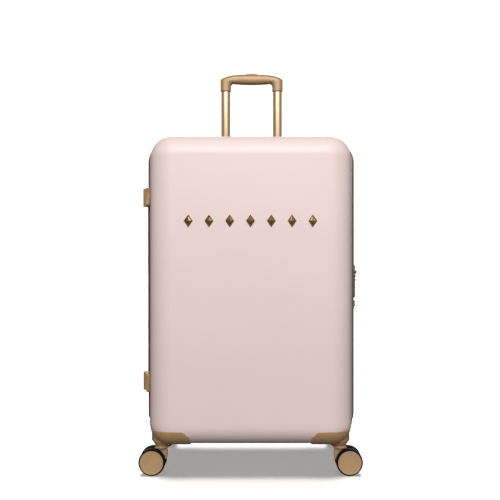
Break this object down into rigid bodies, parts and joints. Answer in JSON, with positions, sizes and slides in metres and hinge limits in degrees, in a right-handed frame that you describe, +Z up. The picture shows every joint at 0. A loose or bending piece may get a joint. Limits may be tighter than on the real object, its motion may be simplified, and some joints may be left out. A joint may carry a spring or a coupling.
{
  "type": "hard shell suitcase",
  "caption": "Upright hard shell suitcase with a side-hinged zip lid, telescopic handle, carry handles, dial lock and swivelling twin-wheel casters.",
  "frame": {"origin": "on the floor under the middle of the case", "axes": "+X to the side with the lock, +Y from the lid to the base, +Z up to the telescopic handle"},
  "size_m": [0.52, 0.3124, 0.97],
  "materials": {
    "shell": "satin moulded polycarbonate",
    "gold_plastic": "satin metallic paint on moulded nylon",
    "gold_tube": "anodised",
    "plain_tube": "mill finish",
    "gold_metal": "polished plating on zinc",
    "lock_metal": "satin metallic paint",
    "steel": "ground",
    "tyre": "matt polyurethane",
    "black_plastic": "fine moulded grain",
    "lining": "plain woven polyester",
    "tape": "woven zip tape",
    "teeth": "nylon coil",
    "webbing": "woven webbing",
    "hinge_cloth": "woven tape"
  },
  "bodies": {
    "base": {"rear_shell": "shell", "rear_zip_tape": "tape", "rear_zip_teeth": "teeth", "rear_lining": "lining", "upper_hinge_base_leaf": "gold_plastic", "lower_hinge_base_leaf": "gold_plastic", "hinge_pins": "steel", "fabric_hinge": "hinge_cloth", "trolley_outer_tubes": "plain_tube", "trolley_bezel": "gold_plastic", "trolley_foot_bracket": "black_plastic", "top_handle_sockets": "gold_plastic", "side_handle_sockets": "gold_plastic", "lock_body": "lock_metal", "lock_spindle": "steel", "zip_sliders": "lock_metal", "rear_left_caster_housing": "gold_plastic", "rear_right_caster_housing": "gold_plastic", "rear_kingpins": "steel", "packing_straps": "webbing", "strap_buckle": "black_plastic"},
    "lid": {"front_shell": "shell", "front_zip_tape": "tape", "front_zip_teeth": "teeth", "front_lining": "lining", "upper_hinge_lid_leaf": "gold_plastic", "lower_hinge_lid_leaf": "gold_plastic", "lid_studs": "gold_metal", "front_left_caster_housing": "gold_plastic", "front_right_caster_housing": "gold_plastic", "front_kingpins": "steel"},
    "trolley": {"trolley_inner_tubes": "gold_tube", "trolley_grip": "gold_plastic"},
    "trolley_release": {"trolley_button": "gold_plastic"},
    "top_handle": {"top_carry_handle": "gold_plastic"},
    "side_handle": {"side_carry_handle": "gold_plastic"},
    "dial_1": {"lock_dial_1": "black_plastic"},
    "dial_2": {"lock_dial_2": "black_plastic"},
    "dial_3": {"lock_dial_3": "black_plastic"},
    "lock_release": {"lock_button": "lock_metal"},
    "key_barrel": {"key_cylinder": "steel"},
    "upper_pull": {"upper_zip_pull": "lock_metal"},
    "lower_pull": {"lower_zip_pull": "lock_metal"},
    "front_left_swivel": {"front_left_fork": "gold_plastic"},
    "front_left_wheels": {"front_left_tyres": "tyre", "front_left_hubs": "gold_plastic", "front_left_axle": "steel"},
    "front_right_swivel": {"front_right_fork": "gold_plastic"},
    "front_right_wheels": {"front_right_tyres": "tyre", "front_right_hubs": "gold_plastic", "front_right_axle": "steel"},
    "rear_left_swivel": {"rear_left_fork": "gold_plastic"},
    "rear_left_wheels": {"rear_left_tyres": "tyre", "rear_left_hubs": "gold_plastic", "rear_left_axle": "steel"},
    "rear_right_swivel": {"rear_right_fork": "gold_plastic"},
    "rear_right_wheels": {"rear_right_tyres": "tyre", "rear_right_hubs": "gold_plastic", "rear_right_axle": "steel"}
  },
  "joints": [
    {"name": "lid_hinge", "type": "hinge", "parent": "base", "child": "lid", "pos_m": [-0.253, 0, 0.4], "axis": [0, 0, -1], "range_deg": [0, 180], "deforming": ["fabric_hinge"]},
    {"name": "trolley_slide", "type": "slide", "parent": "base", "child": "trolley", "axis": [0, 0, 1], "range_m": [-0.205, 0.18]},
    {"name": "trolley_press", "type": "slide", "parent": "trolley", "child": "trolley_release", "axis": [0, 0, -1], "range_m": [0, 0.003], "stiffness_N_per_m": 600, "springref_m": -0.002},
    {"name": "top_handle_lift", "type": "slide", "parent": "base", "child": "top_handle", "axis": [0, 0, 1], "range_m": [0, 0.012]},
    {"name": "side_handle_pull", "type": "slide", "parent": "base", "child": "side_handle", "axis": [1, 0, 0], "range_m": [0, 0.012]},
    {"name": "lock_press", "type": "slide", "parent": "base", "child": "lock_release", "axis": [-1, 0, 0], "range_m": [0, 0.002], "stiffness_N_per_m": 500, "springref_m": -0.002},
    {"name": "key_turn", "type": "hinge", "parent": "base", "child": "key_barrel", "pos_m": [0.25, 0.025, 0.402], "axis": [1, 0, 0], "range_deg": [0, 90]},
    {"name": "dial_1_turn", "type": "hinge", "parent": "base", "child": "dial_1", "pos_m": [0.2515, 0.025, 0.4333], "axis": [0, 0, 1], "continuous": true},
    {"name": "dial_2_turn", "type": "hinge", "parent": "base", "child": "dial_2", "pos_m": [0.2515, 0.025, 0.4417], "axis": [0, 0, 1], "continuous": true},
    {"name": "dial_3_turn", "type": "hinge", "parent": "base", "child": "dial_3", "pos_m": [0.2515, 0.025, 0.4501], "axis": [0, 0, 1], "continuous": true},
    {"name": "upper_pull_swing", "type": "hinge", "parent": "base", "child": "upper_pull", "pos_m": [0.2508, 0, 0.467], "axis": [0, -1, 0], "range_deg": [0, 150]},
    {"name": "lower_pull_swing", "type": "hinge", "parent": "base", "child": "lower_pull", "pos_m": [0.2508, 0, 0.382], "axis": [0, -1, 0], "range_deg": [0, 150]},
    {"name": "front_left_swivel_turn", "type": "hinge", "parent": "lid", "child": "front_left_swivel", "pos_m": [-0.202, -0.108, 0.063], "axis": [0, 0, 1], "continuous": true},
    {"name": "front_left_wheel_roll", "type": "hinge", "parent": "front_left_swivel", "child": "front_left_wheels", "pos_m": [-0.222, -0.108, 0.03], "axis": [0, 1, 0], "continuous": true},
    {"name": "front_right_swivel_turn", "type": "hinge", "parent": "lid", "child": "front_right_swivel", "pos_m": [0.202, -0.108, 0.063], "axis": [0, 0, 1], "continuous": true},
    {"name": "front_right_wheel_roll", "type": "hinge", "parent": "front_right_swivel", "child": "front_right_wheels", "pos_m": [0.222, -0.108, 0.03], "axis": [0, 1, 0], "continuous": true},
    {"name": "rear_left_swivel_turn", "type": "hinge", "parent": "base", "child": "rear_left_swivel", "pos_m": [-0.202, 0.108, 0.063], "axis": [0, 0, 1], "continuous": true},
    {"name": "rear_left_wheel_roll", "type": "hinge", "parent": "rear_left_swivel", "child": "rear_left_wheels", "pos_m": [-0.222, 0.108, 0.03], "axis": [0, 1, 0], "continuous": true},
    {"name": "rear_right_swivel_turn", "type": "hinge", "parent": "base", "child": "rear_right_swivel", "pos_m": [0.202, 0.108, 0.063], "axis": [0, 0, 1], "continuous": true},
    {"name": "rear_right_wheel_roll", "type": "hinge", "parent": "rear_right_swivel", "child": "rear_right_wheels", "pos_m": [0.222, 0.108, 0.03], "axis": [0, 1, 0], "continuous": true}
  ]
}
